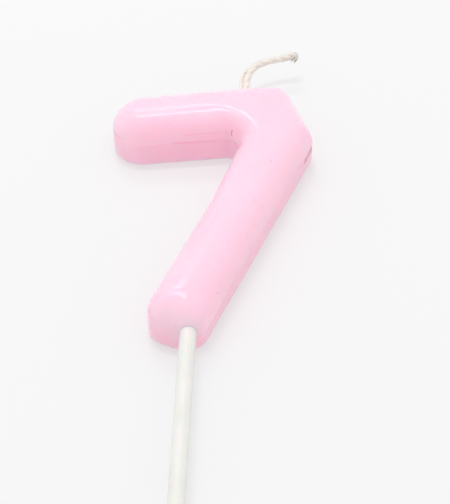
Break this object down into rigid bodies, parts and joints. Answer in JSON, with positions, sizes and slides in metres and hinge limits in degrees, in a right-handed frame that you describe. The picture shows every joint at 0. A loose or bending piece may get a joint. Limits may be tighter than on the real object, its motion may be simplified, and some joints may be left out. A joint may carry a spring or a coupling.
{
  "type": "number birthday candle",
  "caption": "Moulded pink wax numeral 7 candle with a cotton wick at the top and a slim stick in its foot that holds it up in a cake.",
  "frame": {"origin": "middle of the whole candle's box in X and Y, on the plane of the flat back", "axes": "+Z out of the rounded front, +Y up the numeral towards the wick, +X along the bar of the 7 towards its right-hand corner"},
  "size_m": [0.0326, 0.1014, 0.009],
  "materials": {
    "pink_wax": "satin moulded paraffin wax, slightly translucent",
    "wick_cotton": "plied cotton cord, lightly waxed",
    "pick_plastic": "plain off-white moulded stick"
  },
  "bodies": {
    "root": {"wax_body": "pink_wax", "wick": "wick_cotton", "pick": "pick_plastic"}
  },
  "joints": []
}
